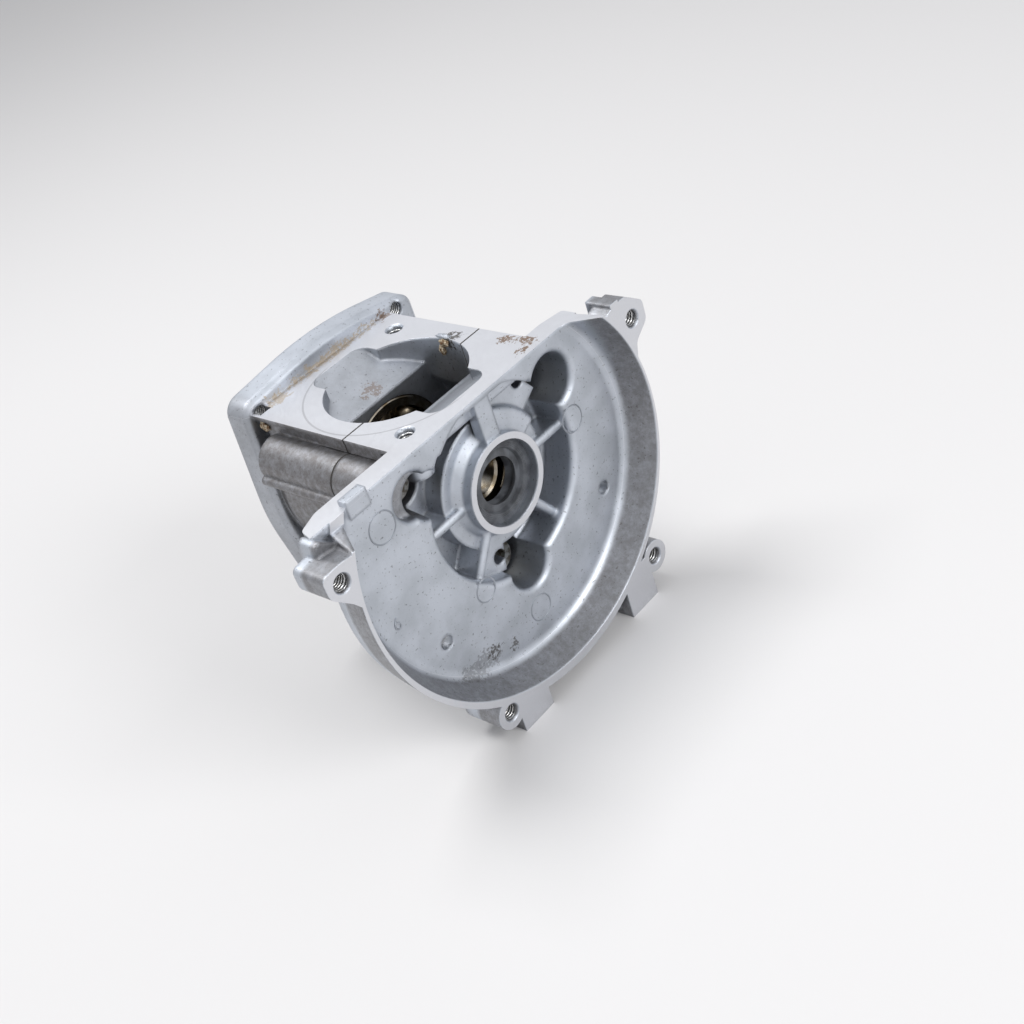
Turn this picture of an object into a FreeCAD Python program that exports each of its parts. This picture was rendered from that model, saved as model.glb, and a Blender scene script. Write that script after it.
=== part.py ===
import FreeCAD, Part
import math
import os

from FreeCAD import Vector

# Engine crankcase of a small two-stroke, two die-cast halves with bearings and seals.
# Millimetres. X right and Z up seen from the dish side, +Y towards the rear flange.
# The origin is where the crank axis crosses the cylinder axis.

# Stations along the crank axis
BOSS_FACE_Y = -28.5
RIM_Y = -36.5
PLATE_FRONT_Y = -28.0
PLATE_BACK_Y = -25.0
SPLIT_Y = -6.5
GASKET_T = 0.5
FLANGE_FRONT_Y = 28.0
FLANGE_BACK_Y = 35.5
BODY_END_Y = 25.0

# Deck, where the cylinder sits
DECK_Z = 25.2
DECK_LEFT_X = -25.0
DECK_RIGHT_X = 25.2
DECK_SLAB_T = 1.2
SIDE_X = 24.2

# Crank chamber and cylinder opening
CHAMBER_R = 22.0
CHAMBER_HALF = 8.6
SPIGOT_R = 18.9
SPIGOT_FLOOR_Z = 18.2
PORT_HALF_X = 9.5
PORT_EDGE_Y = 23.3
PORT_CORNER_R = 4.0
BODY_R = 27.5

# Ball bearings, 12 x 32 x 10
BRG_OUTER_R = 16.0
BRG_INNER_R = 6.0
BRG_WIDTH = 10.0
BRG_PITCH_R = (BRG_OUTER_R + BRG_INNER_R) / 2
BALL_SHARE = 0.2975
BALL_R = BALL_SHARE * (BRG_OUTER_R - BRG_INNER_R)
BALL_GAP = 0.02
BALL_COUNT = 7
LAND_SHARE = 0.22
OUTER_LAND_R = BRG_PITCH_R + LAND_SHARE * (BRG_OUTER_R - BRG_INNER_R)
INNER_LAND_R = BRG_PITCH_R - LAND_SHARE * (BRG_OUTER_R - BRG_INNER_R)
GROOVE_PLAY = 0.125
GROOVE_R = BALL_R + GROOVE_PLAY
RING_CHAMFER = 0.6
CAGE_T = 0.5
CAGE_HALF_H = 1.6
CAGE_IN_R = BRG_PITCH_R - CAGE_HALF_H
CAGE_OUT_R = BRG_PITCH_R + CAGE_HALF_H
POCKET_GAP = 0.08
RIVET_R = 0.5
RIVET_HEAD_R = 0.85
RIVET_HEAD_H = 0.35

# Oil seals, 12 x 22 x 7
SEAL_R = 11.0
SEAL_W = 7.0
SEAL_GAP = 0.1
SEAL_LIP_R = 6.1
SPRING_R = 7.75
SPRING_WIRE_R = 0.5
SPRING_DEPTH = 4.3

# Hub around the front boss
BOSS_R = 12.7
SHOULDER_R = 17.7
SHOULDER_Y = -23.5
HUB_CONE_R = 15.6
RECESS_R = 25.0
RECESS_FLOOR_Y = -17.5
RECESS_TOP_Z = 19.5
SLOT_TOP_Z = 23.7
SLOT_FLOOR_Y = -25.2
RIB_ANGLES = (0.0, 180.0, 232.0, 305.0)
RIB_W = 2.6
RIB_TOP_Y = -25.5
TOP_BLOCK = (-1.6, 3.4, 12.0)
TOP_BLOCK_Y = -27.6
MOUND_Y = -25.8
MOUND_R = 18.6
MOUND_EDGE_R = 2.0
MOUND_FROM = 26.0
MOUND_TO = 84.0

# Case screws M5 x 20, heads at the bottom of the hub's three pockets
SCREW_R = 2.5
SCREW_CLEAR_R = 2.75
SCREW_LEN = 20.0
SCREW_HEAD_R = 4.25
SCREW_HEAD_H = 5.0
SCREW_HEAD_GAP = 0.25
SCREW_SEAT_Y = -11.5
SCREW_HOLE_EXTRA = 2.0
HEX_FLATS = 4.0
HEX_DEPTH = 2.5
SCREW_POINTS = ((-22.8, 12.6), (24.0, 14.3), (-1.0, -26.0))
POCKETS = ((-22.3, 12.1, 5.9), (24.0, 14.0, 7.2), (-1.0, -25.0, 6.7))
POCKET_TAPER = 1.0
POCKET_EDGE_R = 1.6
POCKET_FLOOR_R = 1.2
POCKET_WALL = 2.2
BOSS_COLUMN_R = 6.0
COLUMNS = ((-27.0, 15.5), (26.5, 15.5), (-1.0, -27.0))
COLUMN_END_Y = 21.0
SHELF = (-27.0, 15.2, 5.8)
SHELF_DEPTH = 2.5

# Small forms on the body's sides
RIDGE_R = 1.3
RIDGE_POINTS = ((-32.7, 12.4), (32.4, 12.4))
STRIP_X = 24.9
STRIP_Y = (-18.8, 4.5)
STRIP_Z = 21.5

# Dowel pins across the split
DOWEL_R = 1.5
DOWEL_LEN = 8.0
DOWEL_POINTS = ((-21.9, 20.4), (21.9, 20.4))

# Tapped M5 holes: wall radius is the thread's core
TAP_R = 2.1
TAP_MOUTH_R = 2.6
TAP_DEPTH = 10.0
DECK_HOLES = ((-17.5, -20.3), (18.9, 19.1))
DECK_POST_R = 3.6
DECK_POST_Z = 13.5
HUB_HOLES = ((16.8, 18.2), (-6.2, -19.8))
HUB_HOLE_DEPTH = 7.0
PLATE_HOLES = ((-33.3, -24.2), (30.3, -23.3))
PLATE_HOLE_R = 1.9

# Dish: a right and a left arc meet on the line through their centres.
# The rim is thinnest at the sides, so the outside has a pair of arcs of its own.
OUT_R_X = -1.7
OUT_R_Z = -3.7
OUT_L_X = -0.2
OUT_L_Z = 2.4
OUT_L_RADIUS = 56.0
OUT_R_RADIUS = OUT_L_RADIUS - math.dist((OUT_L_X, OUT_L_Z), (OUT_R_X, OUT_R_Z))
RIM_WALL = 1.94
ARC_R_X = -0.35
ARC_R_Z = -3.3
ARC_L_X = -1.2
ARC_L_Z = 3.0
RIM_LEFT_X = OUT_L_X - OUT_L_RADIUS
RIM_RIGHT_X = OUT_R_X + OUT_R_RADIUS
RIM_LOW_Z = OUT_R_Z - OUT_R_RADIUS
BOWL_STEP = 3.8
BOWL_FILLET_R = 3.0
OUTER_STEP = 1.4
OUTER_FILLET_R = 1.5
TOP_LIP_Y = -21.8
TOP_LIP_T = 2.4
TOP_LIP_LEFT_X = RIM_LEFT_X + 0.2
TOP_LIP_RIGHT_X = RIM_RIGHT_X - 10.0
TOP_LIP_END = 7.0
LIP_TAB_X = (-45.0, -38.5)
LIP_TAB_H = 1.6
LIP_TAB_Y = -26.0

# Lugs around the dish and its feet
LUG_R = 4.5
LUG_BACK_Y = -24.5
LOW_LUG_ANGLES = (-119.38, -50.68)
LOW_LUG_GAPS = (2.3, 5.35)
LEFT_LUG = (RIM_LEFT_X - 1.9, 16.9)
RIGHT_LUG = (RIM_RIGHT_X - 0.12, 18.8)
LEFT_LUG_BACK_Y = -26.5
RIGHT_LUG_BACK_Y = -30.5

# Outlines of the upper lugs and the shoulder, x from the rim's left or right side
LEFT_LUG_FACE = ((6.2, 20.4, 0.0), (-1.1, 21.4, 0.0), (-6.3, 20.9, 1.5), (-6.2, 15.5, 3.0),
                 (-1.3, 10.6, 4.0), (1.2, 7.0, 0.0), (6.2, 7.0, 0.0))
RIGHT_LUG_FACE = ((-12.0, 22.0, 0.0), (-8.3, 24.5, 0.0), (-5.5, 25.4, 0.0), (-1.0, 25.5, 1.5),
                  (4.9, 21.4, 2.0), (4.9, 15.9, 2.5), (-0.5, 12.4, 3.0), (-1.6, 8.0, 0.0),
                  (-12.0, 8.0, 0.0))
WALL_END_Z = 21.0
WALL_END_RISE = 1.8
SHOULDER_FACE = ((6.7, 19.4, 0.0), (0.2, 24.9, 0.8), (-1.4, 24.2, 0.8), (-2.2, 18.0, 0.0),
                 (6.2, 18.0, 0.0))
SHOULDER_FRONT_Y = -30.5
FIN_X = (RIGHT_LUG[0] - 6.4, RIGHT_LUG[0] - 3.4)
FIN_BACK_Y = -28.5
FIN_TOP_Z = 26.2
FOOT_Z = RIM_LOW_Z - 3.58
FOOT_BACK_Y = -29.5
FEET = ((-26.5, -15.5), (19.5, 30.5))
FOOT_TOP_Z = RIM_LOW_Z + 9.4
WEB_T = 2.5
WEB_REACH = 6.0

# Rear flange outline, x and z, and its tapped holes
FLANGE_OUTLINE = ((-27.0, 28.0, 4.5), (6.0, 31.6, 110.0), (34.6, 26.2, 4.5), (34.8, 10.0, 60.0),
                  (30.8, -33.6, 4.5), (3.0, -37.0, 60.0), (-24.9, -33.6, 4.5), (-29.2, -6.0, 60.0))
FLANGE_BEVEL = 1.3
FLANGE_HOLES = ((-22.3, 24.2), (28.3, 24.2), (-20.3, -29.5), (26.3, -29.5))
FLANGE_WALL = 3.6
FLANGE_FLOOR_T = 2.5
CAVITY_FLOOR_Y = 13.5
CAVITY_TOP_WALL = 2.2
REAR_BOSS_R = 14.0
REAR_HOUSING_R = 20.0


def cyl_y(radius, y0, y1, x=0.0, z=0.0):
    """A cylinder along Y between two stations."""
    return Part.makeCylinder(radius, y1 - y0, Vector(x, y0, z), Vector(0, 1, 0))


def cone_y(r0, r1, y0, y1, x=0.0, z=0.0):
    """A cone frustum along Y, radius r0 at y0 and r1 at y1."""
    if abs(r0 - r1) < 1e-6:
        return cyl_y(r0, y0, y1, x, z)
    return Part.makeCone(r0, r1, y1 - y0, Vector(x, y0, z), Vector(0, 1, 0))


def box(x0, x1, y0, y1, z0, z1):
    """A box between two corners."""
    return Part.makeBox(x1 - x0, y1 - y0, z1 - z0, Vector(x0, y0, z0))


def prism_y(points, y0, y1):
    """A straight-sided outline in XZ carried along Y."""
    corners = [Vector(x, y0, z) for x, z in points]
    corners.append(corners[0])
    face = Part.Face(Part.makePolygon(corners))
    return face.extrude(Vector(0, y1 - y0, 0))


def prism_x(points, x0, x1):
    """A straight-sided outline in YZ carried along X."""
    corners = [Vector(x0, y, z) for y, z in points]
    corners.append(corners[0])
    face = Part.Face(Part.makePolygon(corners))
    return face.extrude(Vector(x1 - x0, 0, 0))


def turned(profile, y0=0.0, sign=1.0):
    """A profile of radius and depth pairs turned about the crank axis."""
    corners = [Vector(r, y0 + sign * depth, 0) for r, depth in profile]
    corners.append(corners[0])
    face = Part.Face(Part.makePolygon(corners))
    return face.revolve(Vector(0, 0, 0), Vector(0, 1, 0), 360)


def unit(u, v):
    """A flat direction of length one."""
    size = math.hypot(u, v)
    return u / size, v / size


def rounded_wire(corners, place):
    """A closed outline whose corners each have a radius; place puts a flat point in space."""
    count = len(corners)
    spans = []
    for k in range(count):
        u, v, radius = corners[k]
        back = unit(corners[k - 1][0] - u, corners[k - 1][1] - v)
        ahead = unit(corners[(k + 1) % count][0] - u, corners[(k + 1) % count][1] - v)
        if radius == 0:
            spans.append(((u, v), None, (u, v)))
            continue
        half = math.acos(back[0] * ahead[0] + back[1] * ahead[1]) / 2
        reach = radius / math.tan(half)
        inward = unit(back[0] + ahead[0], back[1] + ahead[1])
        gap = radius / math.sin(half) - radius
        spans.append(((u + back[0] * reach, v + back[1] * reach),
                      (u + inward[0] * gap, v + inward[1] * gap),
                      (u + ahead[0] * reach, v + ahead[1] * reach)))
    edges = []
    for k in range(count):
        start, middle, end = spans[k]
        if middle:
            edges.append(Part.Arc(place(*start), place(*middle), place(*end)).toShape())
        following = spans[(k + 1) % count][0]
        edges.append(Part.makeLine(place(*end), place(*following)))
    return Part.Wire(edges)


def rounded_prism_y(corners, y0, y1):
    """A rounded outline in XZ carried along Y."""
    wire = rounded_wire(corners, lambda x, z: Vector(x, y0, z))
    return Part.Face(wire).extrude(Vector(0, y1 - y0, 0))


def rounded_prism_z(corners, z0, z1):
    """A rounded outline in XY carried along Z."""
    wire = rounded_wire(corners, lambda x, y: Vector(x, y, z0))
    return Part.Face(wire).extrude(Vector(0, 0, z1 - z0))


def rounded_turned(corners, x=0.0, z=0.0):
    """A rounded profile of radius and Y, turned about an axis along Y."""
    wire = rounded_wire(corners, lambda r, y: Vector(x + r, y, z))
    return Part.Face(wire).revolve(Vector(x, 0, z), Vector(0, 1, 0), 360)


def join(shapes):
    """All shapes as one solid."""
    first = shapes[0]
    return first.fuse(shapes[1:]) if len(shapes) > 1 else first


def two_arcs(profile, left, left_radius, right):
    """A dish outline as a solid: a profile turned about each arc's axis, halved and joined.

    The profile gives an offset from the arcs, a Y and a corner radius. The right arc's radius
    is what makes the two arcs tangent on the line through their centres."""
    step = (right[0] - left[0], right[1] - left[1])
    right_radius = left_radius - math.hypot(*step)
    down = unit(*step)
    west = (down[1], -down[0])
    y0 = profile[0][1]
    y1 = profile[-1][1]
    halves = []
    for radius, centre, side in ((left_radius, left, 1.0), (right_radius, right, -1.0)):
        corners = [(0.0, y0, 0.0)]
        corners += [(radius + offset, y, corner) for offset, y, corner in profile]
        corners.append((0.0, y1, 0.0))
        full = rounded_turned(corners, centre[0], centre[1])
        reach = 2.0 * left_radius * side
        near = [(left[0] + down[0] * k, left[1] + down[1] * k) for k in (-reach, reach)]
        far = [(px + west[0] * reach, pz + west[1] * reach) for px, pz in reversed(near)]
        halves.append(full.common(prism_y(near + far, y0 - 1, y1 + 1)))
    return halves[0].fuse(halves[1])


def dish_outside():
    """The dish's outer wall, filled."""
    profile = ((0.0, RIM_Y, 0.0), (-OUTER_STEP, PLATE_BACK_Y, OUTER_FILLET_R))
    return two_arcs(profile, (OUT_L_X, OUT_L_Z), OUT_L_RADIUS, (OUT_R_X, OUT_R_Z))


def dish_inside():
    """The dish's hollow, down to the plate."""
    left = (ARC_L_X, ARC_L_Z)
    right = (ARC_R_X, ARC_R_Z)
    profile = ((0.0, RIM_Y, 0.0), (-BOWL_STEP, PLATE_FRONT_Y, BOWL_FILLET_R))
    return two_arcs(profile, left, OUT_L_RADIUS - RIM_WALL, right)


def chamfered_tap(x, y, z, direction, depth):
    """A tapped hole's cutter: core bore with a small countersink at the mouth."""
    inward = Vector(*direction)
    mouth = Vector(x, y, z)
    flare = TAP_MOUTH_R - TAP_R
    bore = Part.makeCylinder(TAP_R, depth, mouth, inward)
    sink = Part.makeCone(TAP_MOUTH_R, TAP_R, flare, mouth, inward)
    return bore.fuse(sink)


def case_body(y0, y1):
    """The outline both halves share, carried from y0 to y1."""
    shapes = [cyl_y(BODY_R, y0, y1)]
    shapes.append(box(-SIDE_X, SIDE_X, y0, y1, 0, DECK_Z))
    for x, z in COLUMNS:
        shapes.append(cyl_y(BOSS_COLUMN_R, y0, min(y1, COLUMN_END_Y), x, z))
    for x, z in RIDGE_POINTS:
        shapes.append(cyl_y(RIDGE_R, y0, min(y1, COLUMN_END_Y), x, z))
        root = x - math.copysign(BOSS_COLUMN_R, x)
        shapes.append(box(min(x, root), max(x, root), y0, min(y1, COLUMN_END_Y), z - RIDGE_R,
                          z + RIDGE_R))
    start = max(y0, STRIP_Y[0])
    end = min(y1, STRIP_Y[1])
    if end > start:
        shapes.append(box(-STRIP_X, STRIP_X, start, end, STRIP_Z, DECK_Z - DECK_SLAB_T))
    return join(shapes).common(box(-60, 60, y0, y1, -60, DECK_Z))


def crank_space():
    """Everything hollow inside the case: chamber, seats, cylinder opening and scoops."""
    seat_end = CHAMBER_HALF + BRG_WIDTH
    cuts = [cyl_y(CHAMBER_R, -CHAMBER_HALF, CHAMBER_HALF)]
    cuts.append(cyl_y(BRG_OUTER_R, -seat_end, seat_end))
    cuts.append(cyl_y(SEAL_R, BOSS_FACE_Y - 1, -BOSS_FACE_Y + 1))
    throat = Part.makeCylinder(SPIGOT_R, DECK_Z, Vector(0, 0, 0))
    cuts.append(throat.common(box(-30, 30, -CHAMBER_HALF, CHAMBER_HALF, 0, DECK_Z)))
    scoop = ((-PORT_EDGE_Y, DECK_Z), (-CHAMBER_HALF - 1, SPIGOT_FLOOR_Z),
             (CHAMBER_HALF + 1, SPIGOT_FLOOR_Z), (PORT_EDGE_Y, DECK_Z),
             (PORT_EDGE_Y, DECK_Z + 3), (-PORT_EDGE_Y, DECK_Z + 3))
    spigot = Part.makeCylinder(SPIGOT_R, 10, Vector(0, 0, SPIGOT_FLOOR_Z))
    cuts.append(spigot.common(prism_x(scoop, -SPIGOT_R, SPIGOT_R)))
    plan = ((-PORT_HALF_X, -PORT_EDGE_Y, PORT_CORNER_R), (PORT_HALF_X, -PORT_EDGE_Y, PORT_CORNER_R),
            (PORT_HALF_X, PORT_EDGE_Y, PORT_CORNER_R), (-PORT_HALF_X, PORT_EDGE_Y, PORT_CORNER_R))
    rounded = rounded_prism_z(plan, SPIGOT_FLOOR_Z - 1, DECK_Z + 3)
    cuts.append(prism_x(scoop, -PORT_HALF_X, PORT_HALF_X).common(rounded))
    return join(cuts)


def flange_outline(inset, y):
    """The rear flange's outline at one station, set in by the given amount."""
    wire = rounded_wire(FLANGE_OUTLINE, lambda x, z: Vector(x, y, z))
    return wire.makeOffset2D(-inset) if inset else wire


def flange_plate(inset, y0, y1):
    """The flange's outline carried from y0 to y1."""
    return Part.Face(flange_outline(inset, y0)).extrude(Vector(0, y1 - y0, 0))


def round_pocket(radius, taper, floor_y, x=0.0, z=0.0):
    """A round pocket's cutter with a rounded mouth at the plate and a rounded floor."""
    mouth = radius + POCKET_EDGE_R + 0.5
    corners = ((0.0, floor_y, 0.0), (radius - taper, floor_y, POCKET_FLOOR_R),
               (radius, PLATE_FRONT_Y, POCKET_EDGE_R), (mouth, PLATE_FRONT_Y, 0.0),
               (mouth, PLATE_FRONT_Y - 1.0, 0.0), (0.0, PLATE_FRONT_Y - 1.0, 0.0))
    return rounded_turned(corners, x, z)


def hub_recess():
    """The ring-shaped recess and the pockets around the front boss."""
    deep = round_pocket(RECESS_R, POCKET_TAPER / 2, RECESS_FLOOR_Y)
    deep = deep.cut(cyl_y(SHOULDER_R, PLATE_FRONT_Y - 2, 0))
    deep = deep.common(box(-30, 30, PLATE_FRONT_Y - 2, 0, -30, RECESS_TOP_Z))
    ring = cyl_y(RECESS_R, PLATE_FRONT_Y - 1, SLOT_FLOOR_Y)
    ring = ring.common(box(-16.5, 20, PLATE_FRONT_Y - 2, 0, 0, SLOT_TOP_Z))
    front = cyl_y(SHOULDER_R, PLATE_FRONT_Y - 1, SHOULDER_Y)
    cuts = [deep, ring, front]
    for x, z, radius in POCKETS:
        cuts.append(round_pocket(radius, POCKET_TAPER, SCREW_SEAT_Y, x, z))
    x, z, radius = SHELF
    cuts.append(round_pocket(radius, 0.0, PLATE_FRONT_Y + SHELF_DEPTH + POCKET_EDGE_R, x, z))
    return join(cuts)


def hub_body():
    """Boss, cone, ribs and posts that stand in the recess."""
    shapes = [cyl_y(BOSS_R, BOSS_FACE_Y, PLATE_BACK_Y)]
    shapes.append(cone_y(BOSS_R, HUB_CONE_R, SHOULDER_Y - 2.0, SHOULDER_Y + 1.0))
    shapes.append(cyl_y(SHOULDER_R, SHOULDER_Y, RECESS_FLOOR_Y + 1))
    for angle in RIB_ANGLES:
        start = BOSS_R - 1.0
        length = RECESS_R + 0.6 - start
        bar = box(start, start + length, RIB_TOP_Y + RIB_W / 2, RECESS_FLOOR_Y + 1,
                  -RIB_W / 2, RIB_W / 2)
        crown = Part.makeCylinder(RIB_W / 2, length, Vector(start, RIB_TOP_Y + RIB_W / 2, 0),
                                  Vector(1, 0, 0))
        rib = bar.fuse(crown)
        rib.rotate(Vector(0, 0, 0), Vector(0, 1, 0), -angle)
        shapes.append(rib)
    x, y = DECK_HOLES[0]
    shapes.append(Part.makeCylinder(DECK_POST_R, DECK_Z - DECK_POST_Z, Vector(x, y, DECK_POST_Z)))
    land = cyl_y(RECESS_R, SHOULDER_Y, RECESS_FLOOR_Y + 1)
    wedge = ((0.0, 0.0), (30.0, 18.5), (30.0, 40.0), (10.0, 40.0))
    shapes.append(land.common(prism_y(wedge, PLATE_FRONT_Y, 0)))
    low_land = ((0.0, 0.0), (-19.0, -27.0), (-6.0, -27.0))
    shapes.append(land.common(prism_y(low_land, PLATE_FRONT_Y, 0)))
    mound = rounded_turned(((0.0, MOUND_Y, 0.0), (MOUND_R, MOUND_Y, MOUND_EDGE_R),
                            (MOUND_R, RECESS_FLOOR_Y + 1, 0.0), (0.0, RECESS_FLOOR_Y + 1, 0.0)))
    reach = 2.0 * MOUND_R
    sector = [(0.0, 0.0)]
    for angle in (MOUND_FROM, MOUND_TO):
        turn = math.radians(angle)
        sector.append((reach * math.cos(turn), reach * math.sin(turn)))
    shapes.append(mound.common(prism_y(sector, PLATE_FRONT_Y, 0)))
    x0, x1, z0 = TOP_BLOCK
    shapes.append(box(x0, x1, TOP_BLOCK_Y, SLOT_FLOOR_Y + 1, z0, SLOT_TOP_Z))
    return join(shapes)


def screw_holes(radius, y0, y1):
    """Straight holes on the case screws' axes."""
    return [cyl_y(radius, y0, y1, x, z) for x, z in SCREW_POINTS]


def dowel_holes(y0, y1):
    """Straight holes on the dowel pins' axes."""
    return [cyl_y(DOWEL_R, y0, y1, x, z) for x, z in DOWEL_POINTS]


def low_lugs():
    """Centres of the two lower lugs, each a gap outside its own arc of the rim."""
    arcs = ((OUT_L_X, OUT_L_Z, OUT_L_RADIUS), (OUT_R_X, OUT_R_Z, OUT_R_RADIUS))
    centres = []
    for (x, z, radius), gap, angle in zip(arcs, LOW_LUG_GAPS, LOW_LUG_ANGLES):
        turn = math.radians(angle)
        centres.append((x + (radius + gap) * math.cos(turn), z + (radius + gap) * math.sin(turn)))
    return centres


def outline_from(corners, x):
    """A rounded outline in XZ whose X values are counted from x."""
    return [(u + x, v, radius) for u, v, radius in corners]


def shoulder():
    """The rounded shoulder beside the left lug."""
    return rounded_prism_y(outline_from(SHOULDER_FACE, RIM_LEFT_X), SHOULDER_FRONT_Y, PLATE_BACK_Y)


def front_lugs():
    """The four screw lugs, the fin and shoulder beside the upper two, and the feet."""
    shapes = [cyl_y(LUG_R, RIM_Y, LUG_BACK_Y, x, z) for x, z in low_lugs()]
    left = outline_from(LEFT_LUG_FACE, RIM_LEFT_X)
    right = outline_from(RIGHT_LUG_FACE, RIM_RIGHT_X)
    shapes.append(rounded_prism_y(left, RIM_Y, LEFT_LUG_BACK_Y))
    shapes.append(rounded_prism_y(right, RIM_Y, RIGHT_LUG_BACK_Y))
    shapes.append(shoulder())
    shapes.append(box(FIN_X[0], FIN_X[1], RIM_Y, FIN_BACK_Y, WALL_END_Z, FIN_TOP_Z))
    for x0, x1 in FEET:
        side = ((RIM_Y, FOOT_TOP_Z), (FOOT_BACK_Y, FOOT_TOP_Z), (FOOT_BACK_Y, FOOT_Z + 2.0),
                (FOOT_BACK_Y - 1.5, FOOT_Z), (RIM_Y, FOOT_Z))
        shapes.append(prism_x(side, x0, x1))
    x0 = FEET[1][0]
    web = ((x0 - WEB_REACH, FOOT_TOP_Z), (x0 + 1.0, FOOT_TOP_Z), (x0 + 1.0, FOOT_Z + 0.6),
           (x0 - WEB_REACH, FOOT_Z + WEB_REACH))
    shapes.append(prism_y(web, FOOT_BACK_Y - WEB_T - 1.0, FOOT_BACK_Y - 1.0))
    return shapes


def top_lip():
    """The ledge along the plate's upper edge, rounded at both ends, with its small tab."""
    plan = ((TOP_LIP_LEFT_X, PLATE_FRONT_Y, 0.0), (TOP_LIP_RIGHT_X, PLATE_FRONT_Y, 0.0),
            (TOP_LIP_RIGHT_X, TOP_LIP_Y - 1.5, 1.0), (TOP_LIP_RIGHT_X - TOP_LIP_END, TOP_LIP_Y, 6.0),
            (TOP_LIP_LEFT_X + TOP_LIP_END, TOP_LIP_Y, 6.0),
            (TOP_LIP_LEFT_X + 1.0, TOP_LIP_Y - 2.2, 2.0))
    lip = rounded_prism_z(plan, DECK_Z - TOP_LIP_T, DECK_Z)
    tab = box(LIP_TAB_X[0], LIP_TAB_X[1], PLATE_FRONT_Y - 0.6, LIP_TAB_Y, DECK_Z - 3.2,
              DECK_Z + LIP_TAB_H)
    return [lip, tab]


def make_front_half():
    """The dish casting with hub, lugs, feet and the front of the deck."""
    far = 70.0
    dish = dish_outside().common(box(-far, far, RIM_Y, PLATE_BACK_Y, -far, DECK_Z))
    slab = box(DECK_LEFT_X, DECK_RIGHT_X, PLATE_FRONT_Y, SPLIT_Y, DECK_Z - DECK_SLAB_T, DECK_Z)
    body = case_body(PLATE_BACK_Y - 0.5, SPLIT_Y)
    walls = [cyl_y(radius + POCKET_WALL, PLATE_BACK_Y - 0.5, SCREW_SEAT_Y + 1.0, x, z)
             for x, z, radius in POCKETS]
    walls = join(walls).common(box(-far, far, PLATE_BACK_Y - 1, SPLIT_Y, -far, DECK_Z - DECK_SLAB_T))
    half = join([dish, slab, body, walls] + top_lip() + front_lugs())
    half = half.cut(dish_inside().cut(join(top_lip()[1:])))
    wall_end = ((RIM_Y - 1, WALL_END_Z), (PLATE_FRONT_Y - 0.5, WALL_END_Z + WALL_END_RISE),
                (PLATE_FRONT_Y - 0.5, DECK_Z + 2), (RIM_Y - 1, DECK_Z + 2))
    half = half.cut(prism_x(wall_end, LEFT_LUG[0] - 10, LEFT_LUG[0] + 12).cut(shoulder()))
    half = half.cut(hub_recess())
    half = half.fuse(hub_body())
    half = half.cut(crank_space())
    cuts = screw_holes(SCREW_CLEAR_R, SCREW_SEAT_Y - 8, SPLIT_Y + 1)
    for x, z in SCREW_POINTS:
        cuts.append(cyl_y(SCREW_HEAD_R + SCREW_HEAD_GAP, SCREW_SEAT_Y - SCREW_HEAD_H, SCREW_SEAT_Y,
                          x, z))
    cuts += dowel_holes(SPLIT_Y + GASKET_T / 2 - DOWEL_LEN / 2, SPLIT_Y + 1)
    inward = (0, 1, 0)
    for x, z in low_lugs() + [LEFT_LUG, RIGHT_LUG]:
        cuts.append(chamfered_tap(x, RIM_Y, z, inward, TAP_DEPTH))
    for x, z in HUB_HOLES:
        cuts.append(cyl_y(TAP_R, SHOULDER_Y - 1, SHOULDER_Y + HUB_HOLE_DEPTH, x, z))
    for x, z in PLATE_HOLES:
        cuts.append(cyl_y(PLATE_HOLE_R, PLATE_FRONT_Y - 1, PLATE_BACK_Y + 1, x, z))
    x, y = DECK_HOLES[0]
    cuts.append(chamfered_tap(x, y, DECK_Z, (0, 0, -1), TAP_DEPTH))
    return half.cut(cuts)


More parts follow.
